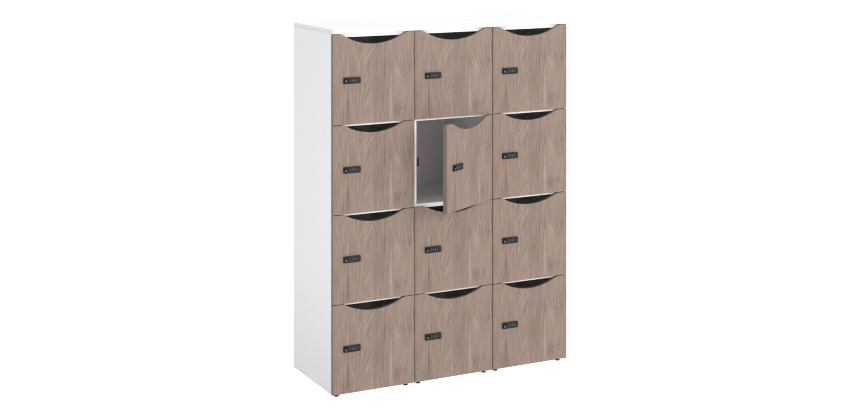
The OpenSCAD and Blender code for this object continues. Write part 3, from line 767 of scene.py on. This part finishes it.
# ------------------------------------------------------------ knob, spindle, cam and nut
def knob_mesh():
    sh = Shell()
    teeth = lambda a, rad: rad - (0.36 * (0.5 - 0.5 * math.cos(30 * a)) if rad > 9.95 else 0)
    sh.mx = at(KNOB_X, 0, 0)
    lathe(sh, [(9.7, -6.62), (10.4, -6.9), (10.5, -7.3), (10.5, -9.0), (10.2, -9.55), (9.7, -9.95), (9.2, -10.1), (8.9, -10.1), (8.7, -9.9), (2.0, -9.9)], 180, teeth)
    # grip across the face, waisted, with a soft top
    grip = sh.mx @ Matrix.Rotation(math.radians(57), 4, "Y")
    sh.mx = grip
    sh.stack(rrect(20.4, 7.8, 3.8, -9.6), rrect(20.2, 6.8, 3.3, -10.5), rrect(20.0, 6.3, 3.1, -11.6), rrect(20.0, 6.2, 3.05, -12.9),
             rrect(19.7, 5.8, 2.85, -13.6), rrect(19.0, 5.0, 2.45, -13.98), rrect(18.0, 3.9, 1.9, -14.1))
    # light wedge on the face beside the grip, and a line along its end: a painted pointer mark that is partly a painted
    # highlight for the light on the grip's lower-left flank
    sh.mx = at(KNOB_X, 0, 0)
    sh.mat = 1
    tri = [(-7.4, 3.6), (-6.9, -4.4), (-0.6, -7.4), (-3.2, -1.9)]
    sh.stack([(x, -9.7, z) for x, z in tri], [(x, -10.25, z) for x, z in tri])
    sh.mx = grip
    sh.stack(rrect(13.0, 1.5, 0.7, -13.9, 0, -1.0, 4), rrect(13.0, 1.5, 0.7, -14.16, 0, -1.0, 4))
    # spindle
    sh.mx = at(KNOB_X, 0, 0)
    sh.mat = 2
    lathe(sh, [(3.6, -7.2), (4.0, -7.2), (4.0, 24.6), (3.7, 24.9)], 32)
    sh.stack(rrect(6.4, 6.4, 0.5, 24.6), rrect(6.4, 6.4, 0.5, 28.0))
    thread = []
    y = 28.0
    while y < 33.0:
        thread += [(2.45, y), (2.8, y + 0.2), (2.8, y + 0.3), (2.45, y + 0.5)]
        y += 0.6
    lathe(sh, thread + [(2.2, 33.4)], 24)
    # cam: a hooked steel strip with a small round hole
    def cam(y, k):
        out = []
        for i in range(15):
            a = math.radians(-28 + 236 * i / 14)
            out.append(((9 - k) * math.cos(a), y, (9 - k) * math.sin(a)))
        lo = -37 + k
        out += [(-8 + k, y, -10), (-8 + k, y, lo + 3.5), (-7.2 + k, y, lo + 1.2), (-5 + k, y, lo), (5 - k, y, lo), (7.2 - k, y, lo + 1.2), (8 - k, y, lo + 3.5), (8 - k, y, -10)]
        return out
    ids = [sh.loop(cam(y, k)) for y, k in ((25.2, 0.35), (25.5, 0), (27.7, 0), (28.0, 0.35))]
    for u, v in zip(ids, ids[1:]):
        sh.bridge(u, v)
    slots = [[(q * 1.6 * math.cos(a), -27.0 + q * 1.6 * math.sin(a)) for a in (2 * math.pi * i / 20 for i in range(20)) for q in (1,)]]
    holes = [(sh.loop([(x, 25.2, z) for x, z in h]), sh.loop([(x, 28.0, z) for x, z in h])) for h in slots]
    sh.cap(ids[0], [h[0] for h in holes])
    sh.cap(ids[-1], [h[1] for h in holes])
    for u, v in holes:
        sh.bridge(u, v)
    # washer and nut
    lathe(sh, [(6.9, 28.0), (7.2, 28.1), (7.2, 28.6), (6.9, 28.7)], 40)
    hexa = lambda rad, y: [(rad * math.cos(math.radians(60 * i + 30)), y, rad * math.sin(math.radians(60 * i + 30))) for i in range(6)]
    sh.stack(hexa(5.3, 28.7), hexa(5.8, 29.0), hexa(5.8, 31.6), hexa(5.2, 32.1))
    return sh.mesh("lock_knob", [M_KNOB, M_MARK_AND_HIGHLIGHT, M_ZINC], 35)


# ------------------------------------------------------------ hinge cups
def cup_mesh(lows):
    """Both cups of a door: each in the hinge line's frame, its height given."""
    sh = Shell()

    def ear(y, grow):
        out = []
        for i in range(96):
            a = 2 * math.pi * i / 96
            ca, sa = abs(math.cos(a)), abs(math.sin(a))
            wx, hz = 7.0 + grow, 26.0 + grow
            box_r = min(wx / max(ca, 1e-6), hz / max(sa, 1e-6))
            if box_r * sa > hz - 5:
                # rounded ends of the ear
                box_r = min(box_r, ((hz - 5) * sa + math.sqrt(max(0.0, 25 - ((hz - 5) * ca) ** 2))) if (hz - 5) * ca < 5 else box_r)
            q = max(18.7 + grow, box_r)
            out.append((q * math.cos(a), y, q * math.sin(a)))
        return out

    for z in lows:
        base = at(-21.5, 0, z)
        sh.mx, sh.mat = base, 0
        rings = [sh.loop(l) for l in (circle(16.9, 5.5, 96), circle(17.4, 6.0, 96), circle(17.4, 18.0, 96), ear(18.0, 0.0), ear(18.6, 0.0), ear(18.9, -0.4),
                                      circle(16.7, 18.9, 96), circle(16.3, 18.5, 96), circle(16.3, 7.9, 96), circle(15.6, 7.4, 96))]
        for u, v in zip(rings, rings[1:]):
            sh.bridge(u, v)
        sh.cap(rings[0])
        sh.cap(rings[-1])
        # a pressed bridge that carries the lever
        sh.stack(rrect(9, 20, 2, 7.2, -3, 0, 4), rrect(9, 20, 2, 9.2, -3, 0, 4), rrect(8, 19, 1.6, 9.7, -3, 0, 4))
        for s in (-1, 1):
            sh.mx = Matrix.Identity(4)
            screw(sh, at(-21.5, 18.9, z + s * 22), 3.4, 1.3, 1.9, 0.45)
        # the curved lever about the hinge line
        sh.mx = at(0, 0, z)
        rows = []
        for i in range(13):
            a = math.radians(135 + 31 * i / 12)
            ca, sa = math.cos(a), math.sin(a)
            rows.append([(28.2 * ca, 28.2 * sa, -4.6), (30.8 * ca, 30.8 * sa, -4.6), (30.8 * ca, 30.8 * sa, 4.6), (28.2 * ca, 28.2 * sa, 4.6)])
        ids = [sh.loop(r_) for r_ in rows]
        for u, v in zip(ids, ids[1:]):
            sh.bridge(u, v)
        sh.face(ids[0])
        sh.face(ids[-1])
    sh.mx = Matrix.Identity(4)
    return sh.mesh("hinge_cups", [M_STEEL], 35)


CASE, DIALS, KNOB = case_mesh(), dials_mesh(), knob_mesh()
cups = {r == 4: cup_mesh((-92.0, ((FOOT + 0.072 - line_z(4)) if r == 4 else -0.3185) * 1000.0)) for r in (1, 4)}
for r, c in CELLS:
    m = lock_matrix(r, c)
    key = f"r{r}c{c}"
    piece(f"lock_case_{key}", CASE, nodes[f"fittings_{key}"]["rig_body"], "dark_plastic", m, f"fittings_{key}")
    h, turn = swing(r, c)
    hm = Matrix.Translation((h.x, h.y, line_z(r))) @ Matrix.Rotation(turn, 4, "Z")
    piece(f"hinge_cups_{key}", cups[r == 4], nodes[f"fittings_{key}"]["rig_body"], "nickel_steel", hm, f"fittings_{key}")
    piece(f"lock_wheels_{key}", DIALS, nodes[f"lock_dials_{key}"]["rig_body"], "dial_plastic", m, f"lock_dials_{key}")
    piece(f"lock_turn_{key}", KNOB, nodes[f"lock_knob_{key}"]["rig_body"], "knob_metal", m, f"lock_knob_{key}")


# ------------------------------------------------------------ feet and strike screws
def feet_mesh():
    sh = Shell()
    lift = Matrix.Rotation(math.radians(90), 4, "X")         # the lathe's y becomes height
    ribs = lambda a, rad: rad - (0.5 * (0.5 - 0.5 * math.cos(20 * a)) if rad > 10.7 else 0)
    for c in (1, 2, 3):
        for x in (31.0, PITCH * 1000 - 31.0):
            for y in (Y_DOOR * 1000 + 32.0, Y_BACK * 1000 - 30.0):
                sh.mx = at(col_x(c) * 1000 + x, y, 0) @ lift
                sh.mat = 0
                lathe(sh, [(9.8, 0), (10.6, 0.4), (11.0, 1.0), (11.0, 4.2), (10.5, 4.8), (8.8, 5.0)], 120, ribs)
                stem = [(7.2, 4.9)]
                yy = 5.2
                while yy < 12.0:
                    stem += [(7.4, yy), (8.0, yy + 0.45), (8.0, yy + 0.6), (7.4, yy + 1.05)]
                    yy += 1.2
                lathe(sh, stem + [(7.4, 12.4)], 32)
                lathe(sh, [(9.6, 12.0), (10.0, 12.3), (10.0, 14.7), (9.8, 15.0)], 6 * 8)
    return sh.mesh("adjusting_feet", [M_BLACK], 35)


piece("adjusting_feet", feet_mesh(), nodes["feet"]["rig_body"], "black_plastic", None, "feet")

sh = Shell()
for r, c in CELLS:
    for z in (-12.0, 12.0):
        sh.mx = Matrix.Identity(4)
        sh.mat = 0
        screw(sh, at((col_x(c) + BOARD) * 1000 + 15.0, Y_DOOR * 1000 + 38.0, lock_z(r) * 1000 + 3.0 + z) @ Matrix.Rotation(math.radians(-90), 4, "Z"), 3.2, 0.9, 1.8, 0.42)
piece("strike_screws", sh.mesh("strike_screws", [M_ZINC]), nodes["strike_blocks"]["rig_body"], "nickel_steel")

# ------------------------------------------------------------ floor, light, camera
fm, fg, fb = material("studio_floor")
grain = fg.noise(object_coords(fg), 40.0, 3.0)
fg.put(fb.inputs["Base Color"], fg.ramp(grain, [(0.3, (0.30, 0.30, 0.30)), (0.7, (0.31, 0.31, 0.31))]))
fg.put(fb.inputs["Roughness"], 0.9)
fg.put(fb.inputs["Specular IOR Level"], 0.0)
fg.put(fb.inputs["Emission Color"], (1, 1, 1, 1))
flp = fg.node("ShaderNodeLightPath")
fg.put(fb.inputs["Emission Strength"], fg.math("MULTIPLY_ADD", flp.outputs["Is Camera Ray"], 0.30, 0.68))
bm = bmesh.new()
bmesh.ops.create_grid(bm, x_segments=8, y_segments=8, size=30)
me = bpy.data.meshes.new("floor")
bm.to_mesh(me)
bm.free()
floor = bpy.data.objects.new("floor", me)
scene.collection.objects.link(floor)
floor.location = (0, 0, -0.0005)
me.materials.append(fm)

world = bpy.data.worlds.new("studio")
scene.world = world
world.use_nodes = True
wt = world.node_tree
wt.nodes.clear()
wg = Graph(wt)
wo = wg.node("ShaderNodeOutputWorld")
b1, b2 = wg.node("ShaderNodeBackground"), wg.node("ShaderNodeBackground")
lp = wg.node("ShaderNodeLightPath")
ms = wg.node("ShaderNodeMixShader")
b1.inputs[0].default_value = (1, 1, 1, 1)
b1.inputs[1].default_value = 0.74
b2.inputs[0].default_value = (1, 1, 1, 1)
b2.inputs[1].default_value = 1.02
wt.links.new(lp.outputs["Is Camera Ray"], ms.inputs[0])
wt.links.new(b1.outputs[0], ms.inputs[1])
wt.links.new(b2.outputs[0], ms.inputs[2])
wt.links.new(ms.outputs[0], wo.inputs[0])


def area(name, loc, target, size, watts, col=(1, 1, 1)):
    l = bpy.data.lights.new(name, "AREA")
    l.shape, l.size, l.size_y, l.energy, l.color = "RECTANGLE", size[0], size[1], watts, col
    o = bpy.data.objects.new(name, l)
    o.location = loc
    o.rotation_mode = "QUATERNION"
    o.rotation_quaternion = (Vector(target) - Vector(loc)).to_track_quat("-Z", "Y")
    scene.collection.objects.link(o)
    o.visible_camera = False
    return o


area("key", (2.65, -6.5, 3.25), (0, 0, 0.8), (3.6, 2.6), 128)
area("fill", (-2.6, -6.8, 2.3), (0, 0, 1.0), (1.4, 1.0), 30)
area("over", (0.2, 0.2, 5.5), (0, 0, 1.6), (4, 4), 92)
area("left", (-1.95, -0.5, 1.05), (-0.6, -0.1, 1.0), (0.7, 0.7), 2.0)

scene.cycles.filter_width = 1.15
scene.cycles.diffuse_bounces = 10
scene.cycles.max_bounces = 14

view_from = Vector((-3.241, -6.3225, 2.202))
cam_data = bpy.data.cameras.new("camera")
cam = bpy.data.objects.new("camera", cam_data)
scene.collection.objects.link(cam)
cam_data.sensor_width = 36
cam_data.lens = 1520 / 860 * 36
cam.location = view_from
cam.rotation_euler = (math.radians(90), 0, math.radians(-27.09))
cam_data.clip_start, cam_data.clip_end = 0.05, 200
scene.camera = cam
# a view camera's fall: the lens is shifted at this viewpoint only, so the uprights stay upright
mark = bpy.data.objects.new("viewpoint", None)
mark.location = view_from
scene.collection.objects.link(mark)
drv = cam_data.driver_add("shift_y").driver
drv.type = "SCRIPTED"
v = drv.variables.new()
v.name, v.type = "d", "LOC_DIFF"
v.targets[0].id, v.targets[1].id = cam, mark
drv.expression = "-0.36116 if d < 0.001 else 0.0"

scene.view_settings.view_transform = "Standard"
scene.view_settings.look = "None"
scene.view_settings.exposure = 0
scene.view_settings.gamma = 1
